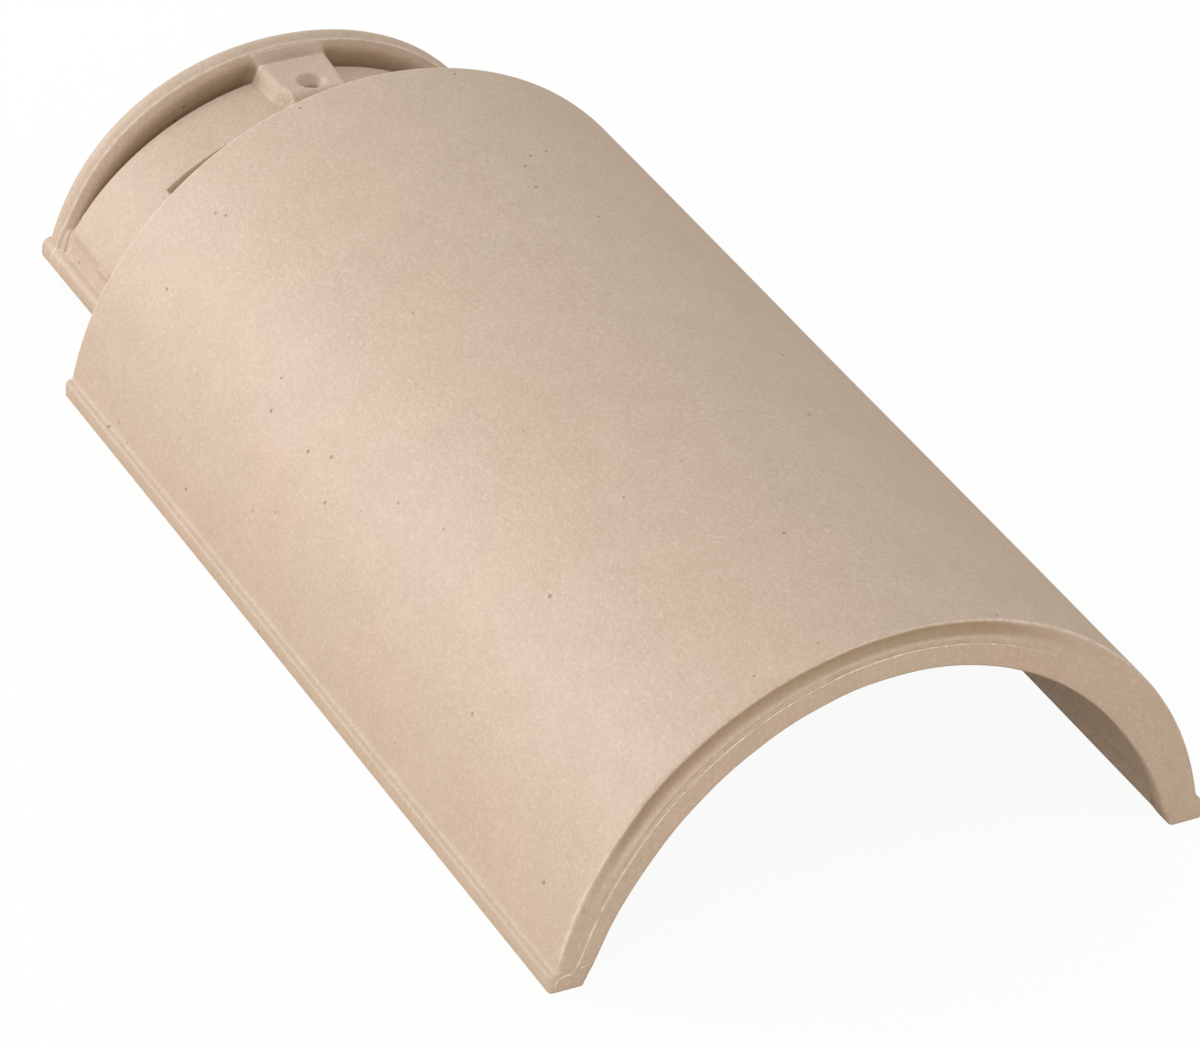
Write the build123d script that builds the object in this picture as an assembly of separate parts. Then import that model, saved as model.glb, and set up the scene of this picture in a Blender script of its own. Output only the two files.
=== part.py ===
from build123d import *
import math
import os

os.makedirs("parts", exist_ok=True)

# Half-round interlocking ridge tile of fired clay, one solid, in millimetres.
# X runs along the ridge: the low head, which the next tile covers, is at -X,
# and the covering front end is at +X. Y is across the ridge and Z is up.
# The tile lies on its two long feet, with its bottom at Z = 0.

# Overall sizes
body_length = 393.0
head_length = 90.5
foot_width = 250.0
crown_height = 110.0

# Barrel: the wall is thickest at the crown and thins towards the feet
crown_wall = 11.0
foot_wall = 7.6
rear_edge_round = 1.4
foot_band_depth = 3.6
foot_band_height = 5.5

# Beads along the body's feet
bead_projection = 1.8
bead_flat = 6.5
bead_height = 11.8
bead_root = 7.0
foot_round = 1.6

# Front lip, thicker than the wall behind it, with its inner foot corners cut back
lip_crown_wall = 17.4
lip_foot_wall = 14.1
lip_length = 8.0
lip_slope = 6.0
lip_round = 2.5
lip_bevel = 1.4
corner_width = 9.5
corner_height = 8.0

# Nose: rounded edge, hollow band and the ledge that runs out to the parting line
nose_setback = 1.2
nose_round = 1.6
hollow_setback = 2.9
hollow_crown_depth = 5.0
parting_crown_depth = 8.0
parting_foot_depth = 7.5

# Head: a lower half-round that fits under the next tile's lip
head_crown_clearance = 12.0
head_foot_clearance = 13.1
head_foot_lift = 3.5
head_crown_wall = 12.5
head_foot_wall = 13.3
step_wall = 13.0
step_round = 3.0
flank_inset = 2.0
head_bead_projection = 2.6
head_bead_flat = 5.5
head_bead_height = 8.0

# Rim along the head's end, and the pad that the next tile lies over
rim_width = 9.0
rim_rear_round = 5.0
rim_front_round = 1.0
rim_rise = 10.1
pad_foot_height = 20.5
pad_foot_inset = 0.6
channel_width = 6.3
channel_depth = 6.2

# Boss on the crown, with the nail hole
boss_rise = 5.0
boss_top_width = 25.0
boss_foot_width = 33.0
boss_from_step = 50.0
boss_slope = 4.0
boss_round = 1.4
nail_from_step = 58.5
nail_radius = 3.0
nail_mouth_radius = 5.6
nail_mouth_depth = 3.2

# Groove across the pad, where the next tile's lip comes to lie
groove_from_step = 46.2
groove_width = 24.0
groove_depth = 6.5
groove_round = 1.2
groove_half_angle = 37.5

# Small three-cornered lug on each flank of the head, under the pad's lower edge
lug_from_step = 52.3
lug_length = 12.7
lug_projection = 1.2
lug_foot_height = 18.4
lug_height = 4.2


def arc_through(half_width, crown, base=0.0):
    """Radius of an arc over the ridge, and how far its centre lies below Z = 0."""
    rise = crown - base
    radius = (half_width ** 2 + rise ** 2) / (2 * rise)
    return radius, radius - crown


def reach(arc, height):
    """Half width of an arc at a height."""
    radius, drop = arc
    return math.sqrt(radius ** 2 - (height + drop) ** 2)


def inside(arc, depth):
    """Arc about the same centre, a depth further in."""
    radius, drop = arc
    return radius - depth, drop


# Places along the ridge
total_length = head_length + body_length
x_front = total_length / 2
x_rear = -total_length / 2
x_step = x_rear + head_length
x_pad = x_rear + rim_width + channel_width

# Arcs across the ridge
outer_half = foot_width / 2 - bead_projection
outer_arc = arc_through(outer_half, crown_height)
inner_arc = arc_through(outer_half - foot_wall, crown_height - crown_wall)
lip_arc = arc_through(outer_half - lip_foot_wall, crown_height - lip_crown_wall)
parting_arc = arc_through(outer_half - parting_foot_depth, crown_height - parting_crown_depth)
rim_crown = crown_height - lip_crown_wall - head_crown_clearance
rim_half = outer_half - lip_foot_wall - head_foot_clearance
rim_arc = arc_through(rim_half, rim_crown)
flank_arc = inside(rim_arc, flank_inset)
pad_crown = rim_crown - rim_rise
pad_half = reach(rim_arc, pad_foot_height) - pad_foot_inset
pad_arc = arc_through(pad_half, pad_crown, pad_foot_height)
head_arc = inside(pad_arc, channel_depth)
head_half = reach(flank_arc, head_foot_lift) + head_bead_projection
head_inner_arc = arc_through(head_half - head_foot_wall, pad_crown - head_crown_wall, head_foot_lift)
boss_crown = pad_crown + boss_rise


def rounded(points, rounds=None):
    """Face from corner points, with the numbered corners rounded."""
    face = make_face(Polyline(*points, close=True))
    for index, radius in (rounds or {}).items():
        corner = face.vertices().sort_by_distance((*points[index], 0))[0]
        face = fillet(corner, radius)
    return face


def turned(face, drop, start=-180.0, end=180.0):
    """Turn an (x, radius) face about a ridge axis, between two angles from the crown."""
    a = math.radians(start)
    plane = Plane(origin=(0, 0, -drop), x_dir=(1, 0, 0), z_dir=(0, -math.cos(a), math.sin(a)))
    return revolve(plane * face, Axis((0, 0, -drop), (-1, 0, 0)), end - start)


def disc(x_low, x_high, arc):
    """Round block under an arc, before it is trimmed at the feet."""
    radius, drop = arc
    block = Cylinder(radius, x_high - x_low, align=(Align.CENTER, Align.CENTER, Align.MIN))
    return Pos(x_low, 0, -drop) * Rot(0, 90, 0) * block


def slab(x_low, x_high, z_low, z_high):
    """Block across the whole width, for trimming."""
    width = 2 * foot_width
    block = Box(x_high - x_low, width, z_high - z_low, align=(Align.MIN, Align.CENTER, Align.MIN))
    return Pos(x_low, 0, z_low) * block


def both_sides(section, x_low, x_high):
    """Straight length of a (y, z) section along one foot, and its mirror image."""
    right = Pos(x_low, 0, 0) * extrude(Plane.YZ * section, x_high - x_low)
    return right + mirror(right, Plane.XZ)


def body():
    """Body with its nose, before it is hollowed."""
    radius, drop = outer_arc
    face_radius, face_drop = parting_arc
    hollow_end = x_front - hollow_setback
    points = [
        (x_step, 0),
        (x_step, radius),
        (x_front - nose_setback, radius),
        (hollow_end, radius - hollow_crown_depth),
        (hollow_end, 0),
    ]
    barrel = turned(rounded(points, {1: rear_edge_round, 2: nose_round}), drop)
    start = hollow_end - lip_length
    ledge_radius = face_radius + parting_crown_depth - hollow_crown_depth
    points = [
        (start, 0),
        (start, ledge_radius),
        (hollow_end, ledge_radius),
        (x_front, face_radius),
        (x_front, 0),
    ]
    return barrel + turned(rounded(points), face_drop)


def body_hollow():
    """Space under the body, narrower at the lip and closing down to the head."""
    lip_radius, drop = lip_arc
    inner_radius = inner_arc[0] - inner_arc[1] + drop
    head_radius = head_inner_arc[0] - head_inner_arc[1] + drop
    closing = x_step + step_wall
    points = [
        (closing, 0),
        (closing, head_radius),
        (closing + crown_wall, inner_radius),
        (x_front - lip_length - lip_slope, inner_radius),
        (x_front - lip_length, lip_radius),
        (x_front - lip_bevel, lip_radius),
        (x_front, lip_radius + lip_bevel),
        (x_front + lip_bevel, lip_radius + 2 * lip_bevel),
        (x_front + lip_bevel, 0),
    ]
    return turned(rounded(points, {1: step_round, 2: step_round, 3: lip_round, 4: lip_round}), drop)


def rim():
    """Rounded rim around the head's end."""
    radius, drop = rim_arc
    points = [
        (x_rear, 0),
        (x_rear, radius),
        (x_rear + rim_width, radius),
        (x_rear + rim_width, 0),
    ]
    return turned(rounded(points, {1: rim_rear_round, 2: rim_front_round}), drop)


def head():
    """Rim, channel floor, pad and flanks of the head, before it is hollowed."""
    x_start = x_rear + rim_width / 2
    x_end = x_step + step_wall
    pad = disc(x_pad, x_end, pad_arc) - slab(x_start, x_end, -2 * foot_width, pad_foot_height)
    flanks = disc(x_start, x_end, flank_arc) - slab(x_start, x_end, pad_foot_height, 2 * foot_width)
    return disc(x_start, x_end, head_arc) + pad + flanks + rim()


def groove():
    """Shallow groove across the pad, square at both ends."""
    radius, drop = pad_arc
    x_start = x_step - groove_from_step
    points = [
        (x_start, radius - groove_depth),
        (x_start, radius + rim_rise),
        (x_start + groove_width, radius + rim_rise),
        (x_start + groove_width, radius - groove_depth),
    ]
    section = rounded(points, {0: groove_round, 3: groove_round})
    return turned(section, drop, -groove_half_angle, groove_half_angle)


def boss():
    """Block with sloping sides on the crown, from the rim towards the step."""
    base = pad_crown - boss_rise
    top = boss_top_width / 2
    root = boss_foot_width - top
    x_start = x_rear + rim_width / 2
    x_end = x_step - boss_from_step
    across = rounded(
        [(-root, base), (-top, boss_crown), (top, boss_crown), (root, base)],
        {1: boss_round, 2: boss_round},
    )
    along = rounded([
        (x_start, base),
        (x_start, boss_crown),
        (x_end - boss_slope, boss_crown),
        (x_end, pad_crown),
        (x_end, base),
    ])
    block = Pos(x_start, 0, 0) * extrude(Plane.YZ * across, x_end - x_start)
    return block & extrude(Plane.XZ * along, boss_foot_width, both=True)


def lugs():
    """Three-cornered lug on both flanks of the head."""
    x_start = x_step - lug_from_step
    face = reach(flank_arc, lug_foot_height) + lug_projection
    section = rounded([
        (x_start, lug_foot_height),
        (x_start + lug_length / 2, lug_foot_height + lug_height),
        (x_start + lug_length, lug_foot_height),
    ])
    right = Pos(0, face, 0) * extrude(Plane.XZ * section, bead_root)
    return right + mirror(right, Plane.XZ)


def nail_hole():
    """Bore for the ridge nail with a cone-shaped mouth."""
    bore = Cylinder(nail_radius, 2 * boss_crown)
    mouth = Cone(nail_radius, nail_mouth_radius, nail_mouth_depth, align=(Align.CENTER, Align.CENTER, Align.MAX))
    return Pos(x_step - nail_from_step, 0, boss_crown) * (bore + mouth)


def bead(x_low, x_high, z_low, flat, height, arc, projection):
    """Rib that stands out from an arc along both feet, with a sloping top."""
    face = reach(arc, z_low) + projection
    top = reach(arc, z_low + height)
    points = [
        (top - bead_root, z_low),
        (face, z_low),
        (face, z_low + flat),
        (top, z_low + height),
        (top - bead_root, z_low + height),
    ]
    return both_sides(rounded(points, {1: foot_round, 2: foot_round}), x_low, x_high)


def foot_band():
    """Low thickening along the inside of both feet, behind the lip."""
    inner = reach(inner_arc, 0) - foot_band_depth
    outer = reach(inner_arc, 0) + foot_wall / 2
    section = rounded([(inner, 0), (inner, foot_band_height), (outer, foot_band_height), (outer, 0)])
    return both_sides(section, x_step + step_wall / 2, x_front - lip_length)


def corner_cuts():
    """Sloping cuts at the lip's inner foot corners."""
    edge = reach(lip_arc, corner_height)
    low = corner_height / 2
    across = corner_width * (1 + low / corner_height)
    section = rounded([(edge, corner_height), (edge + across, -low), (0, -low), (0, corner_height)])
    return both_sides(section, x_front - lip_length - lip_slope, x_front + lip_bevel)


tile = body() + head() + boss() + lugs()
tile += bead(x_step, x_front - nose_setback, 0, bead_flat, bead_height, outer_arc, bead_projection)
tile += bead(x_rear + rim_front_round, x_step + 1, head_foot_lift, head_bead_flat, head_bead_height,
             flank_arc, head_bead_projection)
tile -= groove()
tile -= body_hollow()
tile -= disc(x_rear - rim_width, x_step + step_wall + 1, head_inner_arc)
tile += foot_band()
tile -= corner_cuts()
tile -= slab(x_rear, x_front, -2 * foot_width, 0)
tile -= slab(x_rear - 1, x_step, -2 * foot_width, head_foot_lift)
tile -= nail_hole()

ridge_tile = tile.solids()[0] if len(tile.solids()) == 1 else tile
export_step(ridge_tile, "parts/ridge_tile.step")
print(len(tile.solids()), ridge_tile.volume, ridge_tile.bounding_box())
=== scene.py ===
import math

import bmesh
import bpy
import numpy as np
from mathutils import Matrix, Vector


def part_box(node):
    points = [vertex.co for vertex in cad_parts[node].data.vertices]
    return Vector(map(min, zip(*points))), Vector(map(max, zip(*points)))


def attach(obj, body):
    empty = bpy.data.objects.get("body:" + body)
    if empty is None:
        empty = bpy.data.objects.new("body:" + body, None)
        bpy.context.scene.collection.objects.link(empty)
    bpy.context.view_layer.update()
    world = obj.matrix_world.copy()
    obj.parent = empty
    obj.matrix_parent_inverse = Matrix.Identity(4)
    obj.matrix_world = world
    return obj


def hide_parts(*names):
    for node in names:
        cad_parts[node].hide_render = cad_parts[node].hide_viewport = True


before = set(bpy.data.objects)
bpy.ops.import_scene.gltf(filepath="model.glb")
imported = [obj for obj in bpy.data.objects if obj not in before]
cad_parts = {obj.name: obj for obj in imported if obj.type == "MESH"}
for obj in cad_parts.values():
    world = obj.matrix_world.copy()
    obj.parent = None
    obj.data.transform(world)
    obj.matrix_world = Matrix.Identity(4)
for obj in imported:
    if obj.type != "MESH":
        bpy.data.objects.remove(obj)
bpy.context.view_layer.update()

# A half-round ridge tile of fired clay, made as one closed skin that stands for the plain solid.
# Sizes are in millimetres until the meshes are made. The overall sizes come from the frame.
# A line across the tile has one side described, from the crown (first) down to the foot (last).
MM = 0.001
low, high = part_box("ridge_tile")
x_front = high.x / MM
x_rear = low.x / MM
foot_half_width = high.y / MM
crown_height = high.z / MM
head_length = 90.5
x_step = x_rear + head_length
skin = 0.12  # how far the clay's skin stays inside the plain solid

# Arcs across the tile: radius, and how far the centre lies below the feet
outer_drop = 14.0
outer_arc = (crown_height + outer_drop - skin, outer_drop)
inner_arc = (117.0, 18.0)
head_inner_arc = (89.8, 31.8)
pad_arc = (105.1, 33.3)
channel_arc = (98.4, 33.3)
head_drop = 15.2
rim_radius = 97.9
rim_shoulder = 0.9
flank_radius = 95.5

# Along the head, from its rear end
rim_rear_round = 4.4
rim_rear_drop = 5.4
rim_width = 9.0
rim_front_fall = 1.3
rim_front_round = 0.45
rim_foot_zone = (14.0, 25.0)
wall_shoulder = (0.9, 2.6)
wall_lean = 1.3
wall_foot_lean = 2.4
channel_foot_start = 12.1
channel_end = 14.7
pad_round = 0.7
pad_lean = 0.3
channel_round = 1.3
channel_foot_low = 19.8
channel_foot_high = 24.0
pad_foot_height = 20.5
steady_heights = (24.0, 50.0)  # the columns of points keep the flank's heights up to the first

# Boss, nail hole, groove and lug, from the step
boss_crown = 76.8
boss_rear = -75.2
boss_rear_rise = 4.2
boss_rear_reach = 6.3
boss_half_width = 13.3
boss_taper = 0.09
boss_foot_half_width = 16.8
boss_foot_taper = 3.4
boss_taper_zone = (-61.0, -50.0)
boss_reach = 91.0  # from the head's axis up to where the boss is measured
boss_limit = math.radians(60.0)
boss_height = 6.2
boss_front = -50.8
boss_front_slope = 1.0
nail_from_step = -58.4
nail_radius = 3.0
nail_mouth = 5.9
nail_mouth_depth = 3.6
groove_start = -46.2
groove_end = -22.2
groove_depth = 6.5
groove_half_angle = math.radians(44.4)
lug_corners = ((-52.3, 18.3), (-46.0, 22.8), (-39.6, 18.3))
lug_radius = 96.9

# Step, beads and feet
rear_edge_round = 0.7
rear_edge_reach = 1.0
step_root_round = 0.6
head_foot_lift = 3.5
foot_round = 1.6
head_inner_round = 1.2
body_rows = 48
head_bead = ((0.0, 95.6), (9.0, 95.6), (10.4, 95.0), (11.5, 93.4), (11.95, 91.5), (12.1, 60.0))
body_bead = ((0.0, 0.25), (6.2, 0.25), (6.8, 0.6), (7.2, 1.5), (7.6, 2.6), (9.0, 3.4), (12.0, 30.0))
band_depth = 3.6
band_height = 5.5
step_wall = 13.0
closing_length = 11.0

# Unevenness of the skin, and the gap between places along the squeezed-out thread
wave_height = 0.1
front_wave = 0.12
thread_gap = 0.55

# Heights above the feet of the lowest places on a line across: on the head and on the body
HEAD_FEET = np.array([22.0, 21.5, 21.1, 20.8, 20.5, 20.2, 19.9, 19.5, 18.7, 17.5, 16.0, 14.5, 13.2,
                      12.3, 11.95, 11.7, 11.3, 10.6, 9.6, 8.0, 5.1])
BODY_FEET = np.array([22.0, 21.0, 19.8, 18.4, 16.9, 15.4, 13.9, 12.5, 11.2, 10.1, 9.2, 8.5, 8.0,
                      7.6, 7.3, 7.05, 6.8, 6.4, 5.6, 3.8, 1.6])

# The nose from the crown side to the lip, in three states: (setback from the front, depth under
# the outer surface at the crown, reach of the rounding, places in the rounding, places after it)
HOLLOW_NOSE = ((7.0, 0.0, 0.0, 0, 2), (1.6, 0.0, 1.2, 5, 1), (3.4, 4.2, 2.0, 4, 1),
               (0.8, 6.3, 0.8, 4, 0), (1.25, 7.3, 0.25, 2, 0), (0.3, 7.9, 0.12, 2, 3),
               (0.25, 16.7, 0.6, 3, 0), (0.9, 17.4, 0.3, 2, 1))
PLAIN_NOSE = ((7.0, 0.0, 0.0, 0, 2), (0.8, 0.0, 1.3, 5, 1), (0.6, 3.6, 1.2, 4, 1),
              (0.45, 6.2, 0.5, 4, 0), (0.4, 7.35, 0.2, 2, 0), (0.25, 7.9, 0.12, 2, 3),
              (0.25, 16.7, 0.6, 3, 0), (0.9, 17.4, 0.3, 2, 1))
FOOT_NOSE = ((7.0, 0.0, 0.0, 0, 2), (0.35, 0.0, 2.2, 5, 1), (0.3, 3.9, 0.5, 4, 1),
             (0.28, 6.2, 0.5, 4, 0), (0.26, 7.35, 0.2, 2, 0), (0.25, 7.9, 0.12, 2, 3),
             (0.25, 16.1, 1.8, 3, 0), (1.5, 17.4, 0.9, 3, 1))
PARTING_AT = 7.9  # depths in the nose's states at the parting line and at the lip's inner edge
LIP_AT = 17.4
# The hollow fades out between these angles from the crown, left and right, and below these heights
HOLLOW_LEFT = (-72.0, -46.0)
HOLLOW_RIGHT = (8.0, 42.0)
HOLLOW_FOOT = (6.0, 16.0)
# Depth of the parting line and of the lip's inner edge under the outer arc, by angle from the crown
# in degrees, and their distance from the middle by height above the feet
PARTING_DEPTH = ((0, 8.3), (15, 8.5), (25, 8.9), (35, 9.35), (45, 9.5), (55, 9.35), (62, 8.9),
                 (67, 8.5), (73, 8.2))
PARTING_FOOT = ((0.0, 117.5), (1.6, 117.2), (6.7, 116.1), (11.3, 113.9), (16.0, 112.2), (22.0, 110.0))
LIP_DEPTH = ((0, 16.9), (10, 16.9), (20, 17.3), (33, 17.8), (45, 18.0), (55, 17.6), (60, 17.0),
             (65, 16.1), (72, 14.8))
LIP_FOOT = ((0.0, 113.3), (1.6, 111.3), (2.6, 110.4), (5.0, 109.2), (9.8, 107.6), (16.0, 105.4),
            (22.0, 102.7))
# Branches of the squeezed-out thread on the left foot, as distance from the middle and height
FLASH_HOOK = ((-116.1, 6.7), (-119.1, 6.8), (-121.6, 5.9), (-122.5, 4.2), (-122.7, 1.8))
FLASH_SPUR = ((-117.1, 4.1), (-117.9, 3.4), (-118.8, 2.6))
FLASH_INNER = ((-114.4, 8.2), (-112.0, 8.6), (-109.3, 9.1))
# From the lip's inner edge (0) to the hollow (1), by distance behind the front
LIP_INSIDE = ((4.5, 0.0), (7.0, 0.0), (8.2, 0.03), (9.2, 0.15), (10.5, 0.39), (11.8, 0.64),
              (12.8, 0.84), (13.5, 0.94), (14.4, 0.99), (16.0, 1.0))

# Colours of the clay
SAND = (0.62, 0.495, 0.39, 1.0)
PINK_SAND = (0.65, 0.49, 0.4, 1.0)
YELLOW_SAND = (0.615, 0.505, 0.375, 1.0)
DARK_SAND = (0.5, 0.385, 0.285, 1.0)
PALE_SAND = (0.9, 0.79, 0.67, 1.0)
UMBER = (0.26, 0.165, 0.065, 1.0)
FLOOR = (0.64, 0.545, 0.44, 1.0)
FLOOR_SHADOW = (0.07, 0.07, 0.07, 1.0)
FLOOR_GLOW = 0.935
ROOM = (0.73, 0.705, 0.675, 1.0)
WHITE = (1.0, 1.0, 1.0, 1.0)


def smooth(value, start, end):
    """0 before start, 1 after end, and an S-shaped rise between them."""
    t = np.clip((value - start) / (end - start), 0.0, 1.0)
    return t * t * (3.0 - 2.0 * t)


def plateau(value, rise_start, rise_end, fall_start, fall_end):
    """Rises, stays at 1 and falls again."""
    return smooth(value, rise_start, rise_end) * (1.0 - smooth(value, fall_start, fall_end))


def soft_max(a, b, blend):
    """The larger of two values, with the change-over rounded."""
    h = np.clip(0.5 + 0.5 * (a - b) / blend, 0.0, 1.0)
    return b + (a - b) * h + blend * h * (1.0 - h)


def soft_min(a, b, blend):
    return -soft_max(-a, -b, blend)


def spaced(start, end, zones, usual):
    """Places from start to end, closer together inside the zones (from, to, gap)."""
    places = [start]
    while places[-1] < end - 1e-6:
        here = places[-1]
        gap = usual
        for zone_start, zone_end, close in zones:
            if zone_start - 1e-6 <= here < zone_end:
                gap = min(gap, close)
            elif here < zone_start < here + gap:
                gap = max(zone_start - here, 0.2)
        places.append(min(here + gap, end))
    if len(places) > 2 and places[-1] - places[-2] < 0.15:
        places.pop(-2)
    return np.array(places)


def fan_places():
    """Places along the arc as a share of it, from the crown to where the foot columns start."""
    length = flank_radius * math.acos((HEAD_FEET[0] + head_drop) / flank_radius)
    groove = flank_radius * groove_half_angle
    zones = [(0.0, 6.8, 0.55), (10.6, 21.0, 0.6), (groove - 2.0, groove + 2.0, 0.45),
             (length - 6.0, length, 0.6)]
    return spaced(0.0, length, zones, 2.6) / length


FAN = fan_places()


def across(arc, feet):
    """One side of a line across the tile on an arc: distances from the middle, and heights."""
    radius, drop = arc
    angle = FAN * math.acos((feet[0] + drop) / radius)
    y = np.concatenate([radius * np.sin(angle), np.sqrt(radius ** 2 - (feet[1:] + drop) ** 2)])
    z = np.concatenate([radius * np.cos(angle) - drop, feet[1:]])
    return y, z


def with_bead(y, z, corners):
    """Pushes the low places of a line out to a bead given by (height, distance from the middle)."""
    table = np.array(corners)
    return np.where(z < table[-1, 0], np.maximum(y, np.interp(z, table[:, 0], table[:, 1])), y)


def from_head_axis(arc, angle):
    """Distance of an arc from the head's own axis, seen at an angle from the crown."""
    radius, drop = arc
    shift = drop - head_drop
    return np.sqrt(radius ** 2 - (shift * np.sin(angle)) ** 2) - shift * np.cos(angle)


class Head:
    """The outside of the head, as distances from its axis for every place across."""

    def __init__(self, feet):
        self.feet = feet
        fan = FAN * math.acos((feet[0] + head_drop) / flank_radius)
        self.angle = np.concatenate([fan, np.arccos((feet[1:] + head_drop) / flank_radius)])
        self.height = flank_radius * np.cos(self.angle) - head_drop
        self.rim = rim_radius - skin - rim_shoulder * np.cos(4.0 * self.angle)
        self.flank = np.full_like(self.angle, flank_radius)
        self.sideways = boss_reach * np.tan(np.minimum(self.angle, boss_limit))
        self.pad = self.flank + (from_head_axis(pad_arc, self.angle) - self.flank) * smooth(
            self.height, pad_foot_height - 3.0, pad_foot_height + 2.0)

    def boss(self, x):
        """Boss with sloping sides and front, rounded along its edges."""
        along = x - x_step
        crown = boss_crown + boss_rear_rise * np.clip((boss_rear - along) / boss_rear_reach, 0.0, 1.0) ** 2
        half = boss_half_width - boss_taper * (along - boss_rear)
        foot = boss_foot_half_width - boss_foot_taper * smooth(along, *boss_taper_zone)
        side = crown - boss_height / (foot - half) * (self.sideways - half)
        top = soft_min(crown, side, 1.7)
        top = soft_min(top, boss_crown - boss_front_slope * (along - boss_front), 2.4)
        return (top + head_drop) / np.cos(np.minimum(self.angle, boss_limit))

    def floor(self, x):
        """Floor of the rain channel, which ends above the foot."""
        end = channel_foot_low + (channel_foot_high - channel_foot_low) * np.clip(
            (x - x_rear - channel_foot_start) / (channel_end - channel_foot_start), 0.0, 1.0)
        inside = smooth(self.height, end - 0.7, end + 0.9)
        level = self.flank + (from_head_axis(channel_arc, self.angle) - self.flank) * inside
        return soft_max(level, self.boss(x), 1.4)

    def top(self, x):
        """Pad, flank, boss, groove, lug and the nail hole's mouth."""
        along = x - x_step
        level = soft_max(self.pad, self.boss(x), 1.1)
        groove = plateau(along, groove_start - 0.5, groove_start + 0.5,
                         groove_end - 0.5, groove_end + 0.5)
        arc = flank_radius * (self.angle - groove_half_angle)
        level = level - groove_depth * groove * (1.0 - smooth(arc, -0.45, 0.45))
        start, tip, end = lug_corners
        rise = (tip[1] - start[1]) / (tip[0] - start[0])
        fall = (tip[1] - end[1]) / (end[0] - tip[0])
        upper = np.minimum(start[1] + rise * (along - start[0]), end[1] + fall * (end[0] - along))
        inside = np.minimum(upper - self.height, self.height - start[1])
        level = level + np.maximum(lug_radius - level, 0.0) * smooth(inside, -0.5, 0.8)
        from_nail = np.hypot(along - nail_from_step, self.sideways)
        return level - nail_mouth_depth * (1.0 - smooth(from_nail, nail_radius - 0.4, nail_mouth))

    def line(self, x, distance):
        """The line across at x, at the given distances from the axis, with the bead on it."""
        level = distance * np.cos(self.angle) - head_drop
        z = self.height + (level - self.height) * smooth(self.height, *steady_heights)
        z[len(FAN):] = self.feet[1:]
        y = np.sqrt(distance ** 2 - (z + head_drop) ** 2)
        y = with_bead(y, z, head_bead)
        return line(x, y, z, head_foot_lift)


def line(x, y, z, lift):
    """A whole line across the tile from one side of it, with the lift of its foot."""
    half = np.stack([np.full_like(y, x), y, z], 1)
    mirrored = half[:0:-1] * np.array([1.0, -1.0, 1.0])
    return np.concatenate([mirrored, half]), lift


def lit_and_rubbed(row, amount):
    """Marks a line as lying on an edge that is painted pale, fully at 1: partly rubbed wear, partly a
    painted highlight where the rounding catches the light.
    """
    return row[0], row[1], amount


def between(first, last, shares, lift):
    """Straight lines from one line across to another."""
    return [(first[0] + (last[0] - first[0]) * s, lift) for s in shares]


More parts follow.
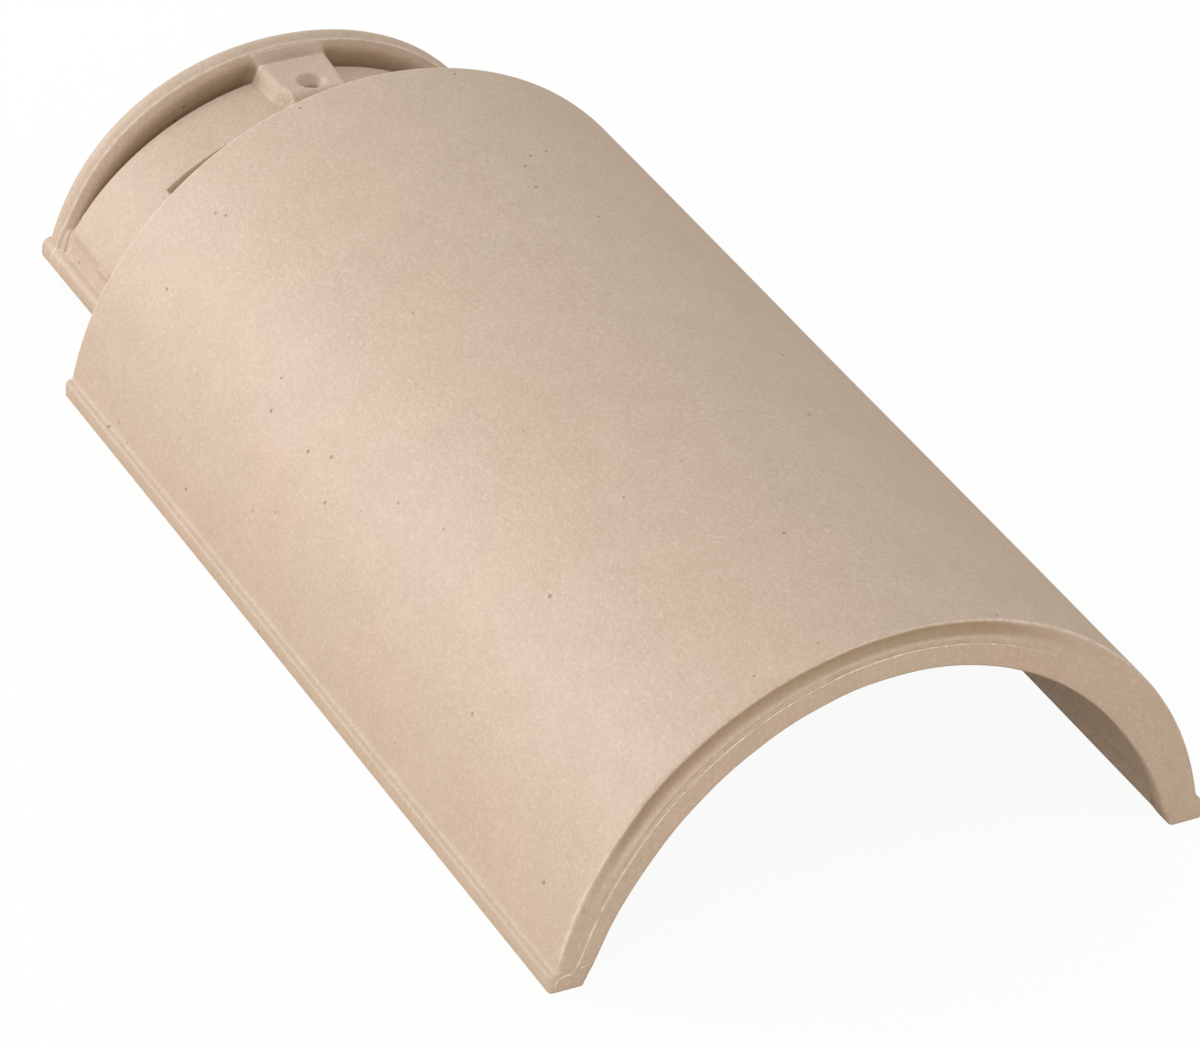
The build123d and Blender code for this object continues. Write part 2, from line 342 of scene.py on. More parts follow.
def head_outside(head):
    """Lines over the head: rounded rim, its front wall, the channel, and the pad up to the step."""
    rows = []
    for a in np.radians(np.linspace(0.0, 90.0, 9)):
        x = x_rear + skin + rim_rear_round * (1.0 - math.cos(a))
        rows.append(head.line(x, head.rim - rim_rear_drop * (1.0 - math.sin(a))))
    top, edge = x_rear + skin + rim_rear_round, x_rear + rim_width
    standing = smooth(head.height, *rim_foot_zone)
    fall = rim_front_fall * np.cos(head.angle * 0.5) * standing
    for share in (0.3, 0.55, 0.8):
        rows.append(head.line(top + (edge - rim_front_round - top) * share, head.rim - fall * share ** 1.7))
    for a in np.radians(np.linspace(0.0, 90.0, 5)):
        x = edge - rim_front_round * (1.0 - math.sin(a))
        row = head.line(x, head.rim - fall - rim_front_round * (1.0 - math.cos(a)))
        rows.append(lit_and_rubbed(row, 0.4 + 0.6 * math.sin(2.0 * a)))
    below = head.rim - fall - rim_front_round
    lean = wall_lean + wall_foot_lean * (1.0 - standing)
    foot = edge + lean
    drop = below - head.floor(foot)
    fillet = np.clip(0.35 * drop, 0.0, channel_round)
    shoulder = np.minimum(wall_shoulder[1], 0.6 * (drop - fillet))
    for share in (0.35, 0.7, 1.0):
        rows.append(head.line(edge + wall_shoulder[0] * share, below - shoulder * share))
    for share in (0.2, 0.4, 0.6, 0.8, 1.0):
        x = edge + wall_shoulder[0] + (lean - wall_shoulder[0]) * share
        rows.append(head.line(x, below - shoulder - (drop - fillet - shoulder) * share))
    for a in np.radians((22.0, 45.0, 68.0, 90.0)):
        x = foot + fillet * (1.0 - math.cos(a))
        rows.append(head.line(x, head.floor(foot) + fillet * (1.0 - math.sin(a))))
    end = x_rear + channel_end
    start = foot + fillet
    for share in np.linspace(0.0, 1.0, 6)[1:]:
        x = start + (end - pad_round - 0.4 - start) * share
        rows.append(head.line(x, head.floor(x)))
    rise = np.maximum(head.top(end) - head.floor(end), 0.0)
    turn = np.clip(0.4 * rise, 0.0, pad_round)
    for a in np.radians((30.0, 60.0, 90.0)):
        level = head.floor(end) + turn * (1.0 - math.cos(a))
        rows.append(head.line(end - turn * (1.0 - math.sin(a)), level))
    for share in (0.25, 0.5, 0.75, 1.0):
        level = head.floor(end) + turn + (rise - 2.0 * turn) * share
        rows.append(head.line(end + pad_lean * share, level))
    for a in np.radians((22.0, 45.0, 68.0, 90.0)):
        level = head.top(end) - turn * (1.0 - math.sin(a))
        row = head.line(end + pad_lean + turn * (1.0 - math.cos(a)), level)
        rows.append(lit_and_rubbed(row, 0.8 * math.sin(2.0 * a)))
    zones = [(-64.8, -38.2, 0.55), (-47.2, -45.2, 0.25), (-23.2, -21.2, 0.25)]
    wall = x_step - rear_edge_reach
    for along in spaced(end + 2.0 - x_step, -3.0, zones, 2.4):
        rows.append(head.line(x_step + along, head.top(x_step + along)))
    level = head.top(wall)
    for a in np.radians((0.0, 25.0, 48.0, 70.0)):
        rows.append(head.line(wall - step_root_round * (1.0 - math.sin(a)),
                              level + step_root_round * (1.0 - math.cos(a))))
    return rows


def body_line(x, arc, inset=0.0):
    """Line over the body's outside, with the bead along the foot."""
    y, z = across((arc[0] - inset, arc[1]), BODY_FEET)
    y = with_bead(y, z, [(height, foot_half_width - depth - inset) for height, depth in body_bead])
    return line(x, y, z, 0.0)


def step_and_body(head):
    """The step's face, its rounded edge and the body's outside up to the nose."""
    wall = x_step - rear_edge_reach
    contour = (head.line(wall, head.top(wall) + step_root_round)[0], 0.0)
    edge = body_line(wall, outer_arc, rear_edge_round)
    rows = [contour] + between(contour, edge, (0.1, 0.35, 0.6, 0.85), 0.0)
    for a in np.radians(np.linspace(0.0, 90.0, 6)):
        row = body_line(wall + rear_edge_round * (1.0 - math.cos(a)), outer_arc,
                        rear_edge_round * (1.0 - math.sin(a)))
        rows.append(lit_and_rubbed(row, 0.5 + 0.5 * math.sin(2.0 * a)))
    for x in [wall + rear_edge_round + 0.6] + list(np.linspace(x_step + 4.0, x_front - 12.0, body_rows)):
        rows.append(body_line(x, outer_arc))
    return rows


def rounded_places(corners):
    """Places along a line of corners, with each corner rounded."""
    spots = [np.array(c[:2]) for c in corners]
    places = [spots[0]]
    for i in range(len(corners)):
        here = spots[i]
        start = end = here
        if 0 < i < len(corners) - 1:
            back, ahead = spots[i - 1] - here, spots[i + 1] - here
            reach = corners[i][2]
            start = here + back * min(reach / np.linalg.norm(back), 0.48)
            end = here + ahead * min(reach / np.linalg.norm(ahead), 0.48)
            for t in np.linspace(0.0, 1.0, corners[i][3] + 1):
                places.append(start * (1 - t) ** 2 + here * 2 * t * (1 - t) + end * t ** 2)
        if i < len(corners) - 1:
            following = spots[i + 1]
            stop = following
            if i < len(corners) - 2:
                back = here - following
                stop = following + back * min(corners[i + 1][2] / np.linalg.norm(back), 0.48)
            for k in range(corners[i][4]):
                places.append(end + (stop - end) * (k + 1) / (corners[i][4] + 1))
    places.append(spots[-1])
    return np.array(places)


def front_line(depths, foot_places):
    """A whole line across the front face, given by its depth under the outer arc and its foot."""
    radius, drop = outer_arc
    depth = np.array(depths)
    places = np.array(foot_places)
    end = math.atan2(np.interp(BODY_FEET[0], places[:, 0], places[:, 1]), BODY_FEET[0] + drop)
    angle = FAN * end
    reach = radius - np.interp(np.degrees(angle), depth[:, 0], depth[:, 1])
    y = np.concatenate([reach * np.sin(angle), np.interp(BODY_FEET[1:], places[:, 0], places[:, 1])])
    z = np.concatenate([reach * np.cos(angle) - drop, BODY_FEET[1:]])
    z[len(FAN) - 1] = BODY_FEET[0]
    y[len(FAN) - 1] = np.interp(BODY_FEET[0], places[:, 0], places[:, 1])
    for _ in range(3):
        for side in (y, z):
            side[1:-1] = 0.25 * side[:-2] + 0.5 * side[1:-1] + 0.25 * side[2:]
    z[len(FAN) - 1:] = BODY_FEET
    return line(0.0, y, z, 0.0)[0]


def inside_line():
    """The body's inside with its low foot band, one whole line across."""
    y, z = across(inner_arc, BODY_FEET)
    return line(0.0, y - band_depth * (1.0 - smooth(z, band_height - 0.4, band_height + 0.4)), z, 0.0)[0]


def nose():
    """The front edge, the hollow under it, the parting ledge, the flat face and the lip's bevel."""
    outer = body_line(0.0, outer_arc)[0]
    parting = front_line(PARTING_DEPTH, PARTING_FOOT)
    lip = front_line(LIP_DEPTH, LIP_FOOT)
    angle = np.degrees(np.arctan2(outer[:, 1], outer[:, 2] + outer_arc[1]))
    hollow = np.where(angle < 0, smooth(angle, *HOLLOW_LEFT), 1.0 - 0.9 * smooth(angle, *HOLLOW_RIGHT))
    foot = 1.0 - smooth(outer[:, 2], *HOLLOW_FOOT)
    states = [rounded_places(state) for state in (HOLLOW_NOSE, PLAIN_NOSE, FOOT_NOSE)]
    rows = []
    for deep, plain, low_down in zip(*states):
        spot = plain[None, :] + (deep - plain)[None, :] * hollow[:, None]
        spot = spot + (low_down[None, :] - spot) * foot[:, None]
        first = np.clip(spot[:, 1] / PARTING_AT, 0.0, 1.0)[:, None]
        second = np.clip((spot[:, 1] - PARTING_AT) / (LIP_AT - PARTING_AT), 0.0, 1.0)[:, None]
        row = outer + (parting - outer) * first
        row = np.where(second > 0, parting + (lip - parting) * second, row)
        row[:, 0] = x_front - spot[:, 0]
        # The nose's edge is painted pale here: rubbed nicks and a painted highlight.
        edge = np.exp(-((spot[:, 0] - spot[:, 1] - 1.3) / 0.7) ** 2) * (spot[:, 1] < 1.5)
        rows.append((row, 0.0, edge * (1.0 - foot)))
    return rows


def inside():
    """The lip's inside, the body's hollow, its closing slope and the head's hollow."""
    lip = front_line(LIP_DEPTH, LIP_FOOT)
    barrel = inside_line()
    rows = []
    for setback, share in LIP_INSIDE:
        row = lip + (barrel - lip) * share
        row[:, 0] = x_front - skin - setback
        rows.append((row, 0.0))
    wall = x_step - rear_edge_reach
    closing = wall + step_wall
    for x in np.linspace(x_front - 24.0, closing + 18.0, 34):
        row = barrel.copy()
        row[:, 0] = x
        rows.append((row, 0.0))
    neck = line(0.0, *across(head_inner_arc, BODY_FEET), 0.0)[0]
    for x in (14.0, 12.5, 11.3, 9.5, 6.5, 3.5, 1.2, 0.2, -1.0, -2.2):
        share = soft_max(soft_min(x / closing_length, 1.0, 0.12), 0.0, 0.12)
        row = neck + (barrel - neck) * np.clip(share, 0.0, 1.0)
        row[:, 0] = closing + x
        rows.append((row, 0.0))
    for x in (closing - 6.0, wall + 0.15):
        row = neck.copy()
        row[:, 0] = x
        rows.append((row, 0.0))
    y, z = across(head_inner_arc, HEAD_FEET)
    for x in np.concatenate([[wall - 0.15], np.linspace(x_step - 8.0, x_rear + skin + 4.0, 12)]):
        rows.append(line(x, y, z, head_foot_lift))
    for a in np.radians((90.0, 60.0, 30.0, 0.0)):
        radius = head_inner_arc[0] + head_inner_round * (1.0 - math.sin(a))
        y, z = across((radius, head_inner_arc[1]), HEAD_FEET)
        rows.append(line(x_rear + skin + head_inner_round * (1.0 - math.cos(a)), y, z, head_foot_lift))
    return rows


def ripple(points, lengths, seed):
    """Slow waves over the clay, about -1 to 1."""
    draw = np.random.default_rng(seed)
    total = np.zeros(len(points))
    for length in lengths:
        for _ in range(3):
            way = draw.normal(size=3)
            way /= np.linalg.norm(way)
            total += np.sin(points @ way * (2.0 * math.pi / length) + draw.uniform(0.0, 2.0 * math.pi))
    return total / (3.0 * len(lengths)) ** 0.5 / 1.6


def wavered(points):
    """Lets the skin leave its true arcs a little, as fired clay does, but not at the feet."""
    middle = points - np.array([0.0, 0.0, -outer_arc[1]])
    away = middle * np.array([0.0, 1.0, 1.0])
    away /= np.linalg.norm(away, axis=1)[:, None]
    free = smooth(points[:, 2], 4.0, 30.0)
    swell = np.minimum(ripple(points, (60.0, 95.0, 150.0), 3), 1.0)
    moved = points + away * (wave_height * free * swell)[:, None]
    near_front = smooth(points[:, 0], x_front - 30.0, x_front - 4.0)
    moved[:, 0] += front_wave * near_front * free * (np.minimum(ripple(points, (22.0, 45.0), 5), 1.0) - 1.0)
    return moved


def painted_recess_shade(points):
    """How deep a place lies in the channel, the groove, the hollow under the nose and the nail hole, from 0
    to 1; the material darkens these places as painted shade.
    """
    x, y, z = points.T
    from_rear, along = x - x_rear, x - x_step
    radius = np.hypot(y, z + head_drop)
    channel = plateau(from_rear, rim_width + 0.4, rim_width + 1.4, channel_end - 0.4, channel_end + 0.2)
    channel = channel * (1.0 - smooth(radius, 90.5, 94.6))
    channel = channel * smooth(z, channel_foot_low - 2.0, channel_foot_low + 8.0)
    groove = plateau(along, groove_start - 0.6, groove_start, groove_end, groove_end + 0.6)
    groove = groove * (1.0 - smooth(radius, 85.5, 88.0))
    depth = outer_arc[0] - np.hypot(y, z + outer_arc[1])
    hollow = smooth(x_front - x, 0.9, 2.6) * plateau(depth, 0.0, 1.2, 5.2, 7.4) * (x > x_front - 5.0)
    nail = smooth(boss_crown - nail_mouth_depth + 0.5 - z, 0.0, 3.0) * (
        np.hypot(along - nail_from_step, y) < nail_radius + 0.6) * (z > 50.0)
    return np.clip(channel + groove + 0.7 * hollow + nail, 0.0, 1.0)


def inset(outline, distance):
    """Moves every point of a closed outline inwards until nothing of it is nearer than a distance."""
    places = np.arange(len(outline))
    own = np.flatnonzero(np.linalg.norm(np.roll(outline, -1, 0) - outline, axis=1) > 1e-4)
    outline = outline[own]
    count = len(outline)
    following = np.roll(outline, -1, 0)
    along = following - outline
    length = np.linalg.norm(along, axis=1) + 1e-9
    area = 0.5 * np.sum(outline[:, 0] * following[:, 1] - following[:, 0] * outline[:, 1])
    normal = np.stack([-along[:, 1], along[:, 0]], 1) / length[:, None] * math.copysign(1.0, area)
    inward = normal * length[:, None] + np.roll(normal * length[:, None], 1, 0)
    inward /= np.linalg.norm(inward, axis=1)[:, None] + 1e-9
    moved = outline + inward * distance
    for _ in range(12):
        share = np.einsum("pij,ij->pi", moved[:, None, :] - outline[None], along) / length[None] ** 2
        nearest = outline[None] + along[None] * np.clip(share, 0.0, 1.0)[..., None]
        offset = moved[:, None, :] - nearest
        gap = np.linalg.norm(offset, axis=2)
        closest = np.argmin(gap, axis=1)
        pick = np.arange(count)
        gap, offset = gap[pick, closest], offset[pick, closest]
        side = np.einsum("pi,pi->p", offset, normal[closest])
        offset = np.where((side < -1e-6)[:, None], -offset, offset)
        away = np.where((gap > 1e-6)[:, None], offset / (gap[:, None] + 1e-9), normal[closest])
        lack = np.where(side < -1e-6, distance + gap, distance - gap)
        moved = moved + away * np.maximum(lack, 0.0)[:, None]
    return moved[np.searchsorted(own, places) % count]


def foot(ring, outline, lifts, total):
    """The rounding under one long edge of the tile, and the flat faces that it stands on."""
    count = len(ring)
    points, faces = [], []
    for a in np.radians((22.5, 45.0, 67.5, 90.0)):
        row = outline.copy()
        row[:, :2] = inset(outline[:, :2], foot_round * (1.0 - math.cos(a)))
        row[:, 2] = lifts + foot_round * (1.0 - math.sin(a))
        points.append(row)
        new = np.arange(total, total + count)
        total += count
        for i in range(count):
            k = (i + 1) % count
            faces.append((ring[i], ring[k], new[k], new[i]))
        ring = new
    on_body = np.flatnonzero(lifts == 0.0)
    first, last = on_body[0], on_body[-1]
    faces.append(ring[first:last + 1])
    faces.append(np.concatenate([ring[last + 1:], ring[:first]]))
    faces.append((ring[first - 1], ring[first], ring[last], ring[last + 1]))
    return np.concatenate(points), faces


def turned_outwards(mesh, merge=0.0):
    """Joins points of a mesh that coincide, and turns its faces outwards."""
    bm = bmesh.new()
    bm.from_mesh(mesh)
    if merge > 0.0:
        bmesh.ops.remove_doubles(bm, verts=bm.verts, dist=merge * MM)
    bmesh.ops.recalc_face_normals(bm, faces=bm.faces)
    bm.to_mesh(mesh)
    bm.free()


def paint(mesh, name, values):
    """Keeps one number for each point of a mesh, for the material to read."""
    mesh.attributes.new(name, "FLOAT", "POINT").data.foreach_set("value", values.astype(np.float32))


def tile_mesh():
    """The whole tile as one closed mesh, before its nail hole is bored."""
    rows = head_outside(Head(HEAD_FEET)) + step_and_body(Head(BODY_FEET)) + nose() + inside()
    rows.append((rows[-1][0] + (rows[0][0] - rows[-1][0]) * 0.5, head_foot_lift))
    grid = np.stack([row[0] for row in rows])
    lifts = np.array([row[1] for row in rows])
    count, width = grid.shape[:2]
    edge_light_and_wear = np.stack([np.zeros(width) + (row[2] if len(row) > 2 else 0.0) for row in rows])
    grid = wavered(grid.reshape(-1, 3)).reshape(grid.shape)
    points, faces = grid.reshape(-1, 3), []
    for i in range(count):
        here, ahead = i * width, ((i + 1) % count) * width
        faces += [(here + j, here + j + 1, ahead + j + 1, ahead + j) for j in range(width - 1)]
    for column in (0, width - 1):
        ring = np.arange(count) * width + column
        own_points, own_faces = foot(ring, grid[:, column], lifts, len(points))
        points = np.concatenate([points, own_points])
        faces += own_faces
    mesh = bpy.data.meshes.new("tile_clay")
    mesh.from_pydata((points * MM).tolist(), [], [tuple(int(v) for v in face) for face in faces])
    # Pale paint on lit and rubbed edges, kept for each point: rubbed wear and a painted highlight.
    paint(mesh, "lit_and_rubbed_edge", np.concatenate([edge_light_and_wear.reshape(-1), np.zeros(len(points) - edge_light_and_wear.size)]))
    # Painted shade for the recesses, kept for each point.
    paint(mesh, "painted_recess_shade", painted_recess_shade(points))
    turned_outwards(mesh, 0.001)
    return mesh


def bored(piece):
    """Bores the nail hole through the boss."""
    bpy.ops.mesh.primitive_cylinder_add(vertices=64, radius=nail_radius * MM, depth=0.05,
                                        location=((x_step + nail_from_step) * MM, 0, 0.07))
    drill = bpy.context.object
    cut = piece.modifiers.new("nail_hole", "BOOLEAN")
    cut.operation = "DIFFERENCE"
    cut.solver = "EXACT"
    cut.object = drill
    bpy.context.view_layer.update()
    dg = bpy.context.evaluated_depsgraph_get()
    mesh = bpy.data.meshes.new_from_object(piece.evaluated_get(dg))
    piece.modifiers.clear()
    piece.data = mesh
    bpy.data.objects.remove(drill)


def resampled(points, gap):
    """Even places along a line of points, with its corners rounded."""
    points = np.array(points, float)
    for _ in range(2):
        near, far = points[:-1] * 0.75 + points[1:] * 0.25, points[:-1] * 0.25 + points[1:] * 0.75
        between_them = np.stack([near, far], 1).reshape(-1, points.shape[1])
        points = np.concatenate([points[:1], between_them, points[-1:]])
    reach = np.concatenate([[0.0], np.cumsum(np.linalg.norm(np.diff(points, axis=0), axis=1))])
    places = np.linspace(0.0, reach[-1], max(int(reach[-1] / gap), 3) + 1)
    return np.stack([np.interp(places, reach, points[:, k]) for k in range(points.shape[1])], 1)


def thread(line_points, half_width, height, fade_ends, draw):
    """A thin uneven thread of clay lying on the front face along a line of (y, z) points."""
    way = resampled(line_points, thread_gap)
    count = len(way)
    centre = wavered(np.column_stack([np.full(count, x_front - 0.25), way]))
    tangent = np.gradient(way, axis=0)
    tangent /= np.linalg.norm(tangent, axis=1)[:, None]
    side = np.column_stack([np.zeros(count), -tangent[:, 1], tangent[:, 0]])
    noise = np.convolve(draw.normal(size=count + 4), (0.2, 0.2, 0.2, 0.2, 0.2), "same")[2:-2] * 2.2
    slow = np.convolve(draw.normal(size=count + 24), np.ones(25) / 25, "same")[12:-12] * 4.0
    share = np.linspace(0.0, 1.0, count)
    fade = smooth(share, 0.0, fade_ends[0]) * (1.0 - smooth(share, 1.0 - fade_ends[1], 1.0))
    amount = np.clip(0.85 + 0.25 * noise + 0.25 * slow, 0.35, 1.2) * (0.15 + 0.85 * fade)
    rings = []
    for across_share, rise in ((-1.0, -0.9), (-0.75, 0.45), (0.0, 1.0), (0.75, 0.45), (1.0, -0.9)):
        ring = centre + side * (half_width * amount * across_share)[:, None]
        ring[:, 0] += np.minimum(height * amount * rise, 0.22)
        rings.append(ring)
    points = np.stack(rings, 1).reshape(-1, 3)
    faces = [(5 * i + k, 5 * i + (k + 1) % 5, 5 * i + 5 + (k + 1) % 5, 5 * i + 5 + k)
             for i in range(count - 1) for k in range(5)]
    return points, faces + [(0, 1, 2, 3, 4), tuple(range(5 * count - 1, 5 * count - 6, -1))]


def flash_piece():
    """The squeezed-out thread along the parting line and its branches on the left foot."""
    draw = np.random.default_rng(11)
    parting = front_line(PARTING_DEPTH, PARTING_FOOT)[:, 1:]
    middle = len(parting) // 2
    last = middle + int(np.argmin(np.abs(parting[middle:, 0] - 66.0)))
    first = int(np.argmin(np.abs(parting[:middle, 1] - 5.5)))
    lines = [(parting[first:last], 0.42, 0.24, (0.01, 0.18)), (FLASH_HOOK, 0.36, 0.24, (0.02, 0.2)),
             (FLASH_SPUR, 0.25, 0.18, (0.3, 0.3)), (FLASH_INNER, 0.25, 0.16, (0.1, 0.5))]
    points, faces, total = [], [], 0
    for way, half_width, height, fade_ends in lines:
        own_points, own_faces = thread(way, half_width, height, fade_ends, draw)
        points.append(own_points)
        faces += [tuple(int(v) + total for v in face) for face in own_faces]
        total += len(own_points)
    mesh = bpy.data.meshes.new("parting_flash")
    mesh.from_pydata((np.concatenate(points) * MM).tolist(), [], faces)
    turned_outwards(mesh)
    # The whole thread is painted pale, as rubbed wear and a painted highlight.
    paint(mesh, "lit_and_rubbed_edge", np.ones(total))
    piece = bpy.data.objects.new("parting_flash", mesh)
    bpy.context.scene.collection.objects.link(piece)
    piece.data.shade_smooth()
    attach(piece, "root")
    return piece


def tile_piece():
    """The clay tile, which stands for the plain solid."""
    piece = bpy.data.objects.new("clay_tile", tile_mesh())
    bpy.context.scene.collection.objects.link(piece)
    bored(piece)
    piece.data.shade_smooth()
    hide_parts("ridge_tile")
    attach(piece, "root")
    return piece


class Worth:
    """A number inside a shader. Sums and products of it add their own Math nodes."""

    def __init__(self, shades, socket):
        self.shades = shades
        self.socket = socket

    def worked(self, operation, first, second):
        node = self.shades.node("Math", {"operation": operation}, {0: first, 1: second})
        return Worth(self.shades, node.outputs[0])

    def __add__(self, other):
        return self.worked("ADD", self, other)

    def __radd__(self, other):
        return self.worked("ADD", other, self)

    def __sub__(self, other):
        return self.worked("SUBTRACT", self, other)

    def __rsub__(self, other):
        return self.worked("SUBTRACT", other, self)

    def __mul__(self, other):
        return self.worked("MULTIPLY", self, other)

    def __rmul__(self, other):
        return self.worked("MULTIPLY", other, self)


class Shades:
    """The nodes of a material or of the room."""

    def __init__(self, owner):
        owner.use_nodes = True
        self.owner = owner
        self.tree = owner.node_tree

    def own(self, name):
        """A node that the owner has from the start."""
        return self.tree.nodes[name]

    def set(self, node, sockets):
        """Links or sets sockets of a node."""
        for name, value in sockets.items():
            if isinstance(value, Worth):
                self.tree.links.new(value.socket, node.inputs[name])
            elif isinstance(value, bpy.types.NodeSocket):
                self.tree.links.new(value, node.inputs[name])
            else:
                node.inputs[name].default_value = value

    def node(self, kind, settings, sockets):
        """Any node: its kind, its settings, then the values or links of its sockets."""
        node = self.tree.nodes.new("ShaderNode" + kind)
        for name, value in settings.items():
            if name == "stops":
                for k, (place, shade) in enumerate(value):
                    stop = node.color_ramp.elements[k] if k < 2 else node.color_ramp.elements.new(place)
                    stop.position = place
                    stop.color = (shade, shade, shade, 1.0)
            else:
                setattr(node, name, value)
        self.set(node, sockets)
        return node

    def worth(self, node, output=0):
        return Worth(self, node.outputs[output])

    def noise(self, place, size, detail=2.0, roughness=0.5):
        """Cloudy noise with blobs about size metres across."""
        sockets = {"Vector": place, "Scale": 1.0 / size, "Detail": detail, "Roughness": roughness}
        return self.worth(self.node("TexNoise", {}, sockets))

    def steps(self, value, stops):
        """Grey shades between stops of (value, shade)."""
        return self.worth(self.node("ValToRGB", {"stops": stops}, {"Fac": value}))

    def tinted(self, colour, other, factor, blend="MIX"):
        """Mixes two colours."""
        settings = {"data_type": "RGBA", "blend_type": blend}
        node = self.node("Mix", settings, {0: factor, 6: colour, 7: other})
        return node.outputs[2]

    def painted(self, name):
        """A number that the mesh keeps for each of its points."""
        return self.worth(self.node("Attribute", {"attribute_name": name}, {}), "Fac")


def clay_material():
    """Sand-coloured fired clay: soft blotches, mottling, a wrinkled skin, pits darkened with painted shade,
    edges painted pale as rubbed wear and painted highlight, and painted shade in the recesses.
    """
    clay = Shades(bpy.data.materials.new("sand_clay"))
    place = clay.node("TexCoord", {}, {}).outputs["Object"]
    stretched = clay.node("Mapping", {}, {"Vector": place, "Scale": (0.6, 1.0, 1.0),
                                          "Location": (0.31, 0.12, 0.05)}).outputs[0]
    pink = clay.steps(clay.noise(stretched, 0.085, 2.0, 0.55), ((0.36, 0.0), (0.66, 1.0)))
    moved = clay.node("Mapping", {}, {"Vector": place, "Location": (0.83, 0.47, 0.29)}).outputs[0]
    yellow = clay.steps(clay.noise(moved, 0.055, 3.0, 0.55), ((0.42, 0.0), (0.7, 1.0)))
    mottle = clay.noise(place, 0.016, 4.0, 0.6)
    grain = clay.noise(place, 0.0016, 3.0, 0.7)
    colour = clay.tinted(SAND, PINK_SAND, pink * 0.6)
    colour = clay.tinted(colour, YELLOW_SAND, yellow * 0.6)
    colour = clay.tinted(colour, DARK_SAND, clay.steps(mottle, ((0.35, 1.0), (0.62, 0.0))) * 0.22)
    colour = clay.tinted(colour, PALE_SAND, clay.steps(grain, ((0.5, 0.0), (0.78, 1.0))) * 0.32)
    colour = clay.tinted(colour, DARK_SAND, clay.steps(grain, ((0.24, 1.0), (0.47, 0.0))) * 0.42)
    nicks = clay.steps(clay.noise(place, 0.0026, 2.0, 0.7), ((0.34, 0.35), (0.58, 1.0)))
    # Painted highlight and rubbed wear: the rounded edges and the flash thread turn pale sand, broken up by
    # nicks.
    colour = clay.tinted(colour, PALE_SAND, clay.painted("lit_and_rubbed_edge") * nicks * 0.85)
    dots = clay.node("TexVoronoi", {}, {"Vector": place, "Scale": 1.0 / 0.011, "Randomness": 1.0})
    spread = clay.steps(clay.noise(moved, 0.03, 1.0), ((0.5, 0.0), (0.56, 1.0)))
    pits = clay.steps(clay.worth(dots), ((0.03, 1.0), (0.075, 0.0))) * spread
    # Painted shade: the pits, which the bump also sinks, turn towards umber.
    colour = clay.tinted(colour, UMBER, pits * 0.55)
    # Painted shade: the channel, the groove, the hollow under the nose and the nail hole turn towards
    # umber.
    colour = clay.tinted(colour, UMBER, clay.painted("painted_recess_shade") * 0.72)
    wrinkles = clay.noise(place, 0.0011, 2.0, 0.55) + clay.noise(place, 0.0035, 2.0, 0.5) * 0.8
    height = wrinkles - pits * 2.0 + mottle * 1.5
    bump = clay.node("Bump", {}, {"Strength": 1.0, "Distance": 0.00021, "Height": height})
    clay.set(clay.own("Principled BSDF"),
             {"Base Color": colour, "Roughness": 0.52, "Normal": bump.outputs[0]})
    return clay.owner


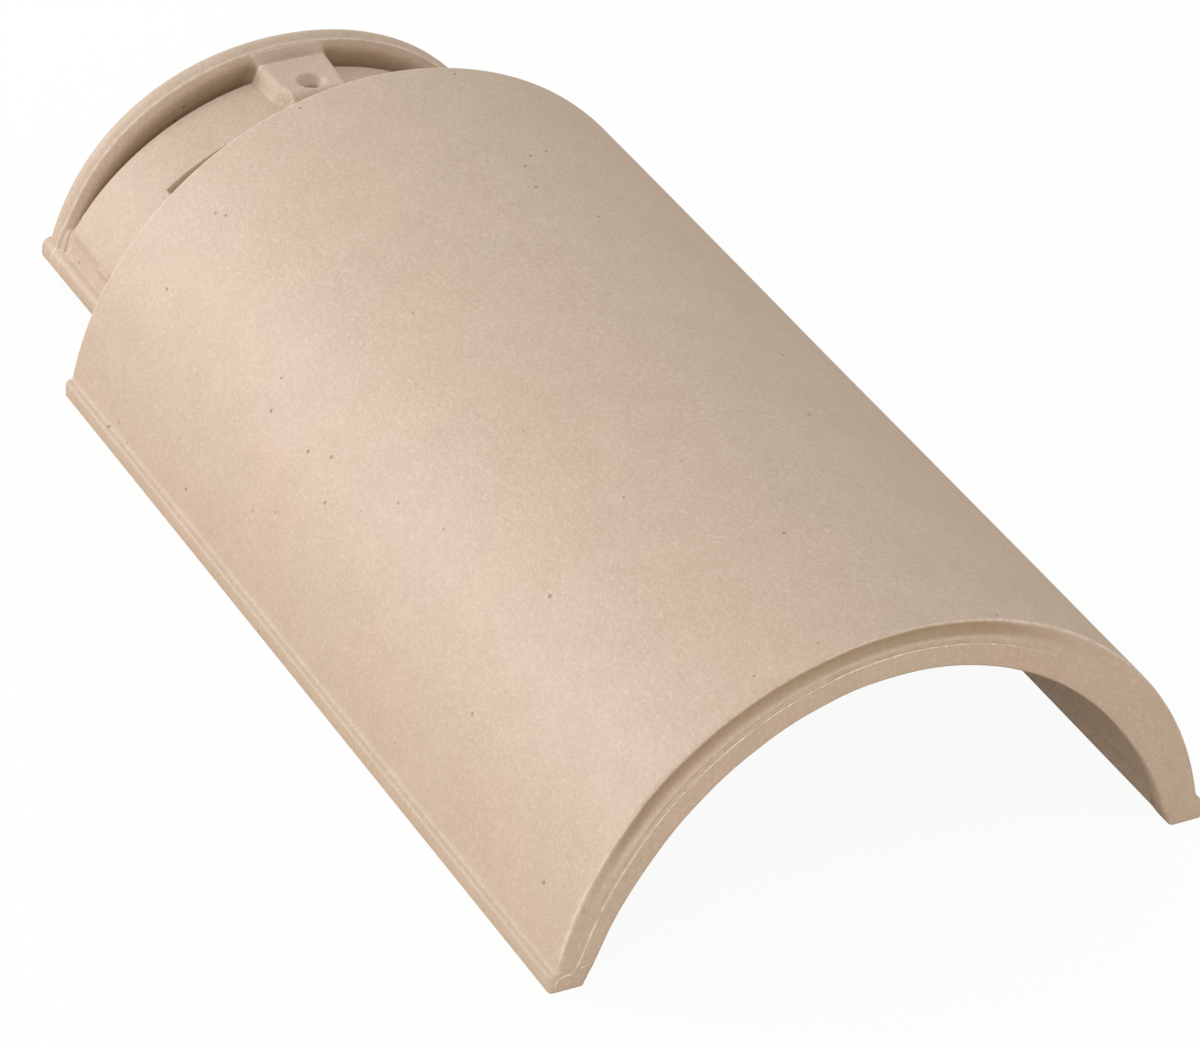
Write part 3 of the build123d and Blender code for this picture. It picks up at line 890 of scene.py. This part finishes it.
def stage():
    """A pale floor that shows white and keeps a faint shadow."""
    reach = 6.0
    corners = [(-reach, -reach, 0), (reach, -reach, 0), (reach, reach, 0), (-reach, reach, 0)]
    mesh = bpy.data.meshes.new("floor")
    mesh.from_pydata(corners, [], [(0, 1, 2, 3)])
    floor = bpy.data.objects.new("floor", mesh)
    bpy.context.scene.collection.objects.link(floor)
    pale = Shades(bpy.data.materials.new("pale_floor"))
    lit = pale.own("Principled BSDF")
    pale.set(lit, {"Base Color": FLOOR, "Roughness": 1.0})
    seen = pale.node("BsdfDiffuse", {}, {"Color": FLOOR_SHADOW})
    glow = pale.node("Emission", {}, {"Strength": FLOOR_GLOW})
    both = pale.node("AddShader", {}, {0: seen.outputs[0], 1: glow.outputs[0]})
    path = pale.node("LightPath", {}, {})
    mixed = pale.node("MixShader", {}, {0: path.outputs["Is Camera Ray"], 1: lit.outputs[0],
                                        2: both.outputs[0]})
    pale.set(pale.own("Material Output"), {"Surface": mixed.outputs[0]})
    mesh.materials.append(pale.owner)


def room():
    """An even pale room, which the camera sees as white."""
    air = Shades(bpy.data.worlds.new("room"))
    bpy.context.scene.world = air.owner
    path = air.node("LightPath", {}, {})
    air.set(air.own("Background"), {"Color": air.tinted(ROOM, WHITE, path.outputs["Is Camera Ray"])})


def lamp(name, place, aim, size, power):
    """A flat lamp at a place, turned to a spot, in metres and watts."""
    data = bpy.data.lights.new(name, "AREA")
    data.shape = "RECTANGLE"
    data.size, data.size_y = size
    data.energy = power
    thing = bpy.data.objects.new(name, data)
    thing.location = place
    thing.rotation_euler = (Vector(aim) - Vector(place)).to_track_quat("-Z", "Y").to_euler()
    bpy.context.scene.collection.objects.link(thing)


def camera():
    """Long lens from the front left, about 33 degrees above the floor."""
    azimuth, elevation, roll = math.radians(60.773), math.radians(33.274), math.radians(3.551)
    distance = 2.308
    aim = Vector((0.0358, -0.0015, 0.0269))
    back = Vector((math.sin(azimuth) * math.cos(elevation), -math.cos(azimuth) * math.cos(elevation),
                   math.sin(elevation)))
    data = bpy.data.cameras.new("camera")
    data.sensor_width = 36.0
    data.lens = 196.48
    data.clip_end = 50.0
    thing = bpy.data.objects.new("camera", data)
    thing.location = aim + back * distance
    upright = (-back).to_track_quat("-Z", "Y")
    thing.rotation_euler = (upright.to_matrix() @ Matrix.Rotation(roll, 3, "Z")).to_euler()
    bpy.context.scene.collection.objects.link(thing)
    bpy.context.scene.camera = thing


clay = clay_material()
tile = tile_piece()
tile.data.materials.append(clay)
flash_piece().data.materials.append(clay)
stage()
room()
lamp("key", (-1.75, -1.52, 0.9), (0, 0, 0), (1.1, 1.1), 27.0)
lamp("fill", (1.5, -1.1, 0.16), (0.2, 0.1, 0.03), (0.9, 0.3), 7.0)
camera()

bpy.context.scene.view_settings.view_transform = "Standard"
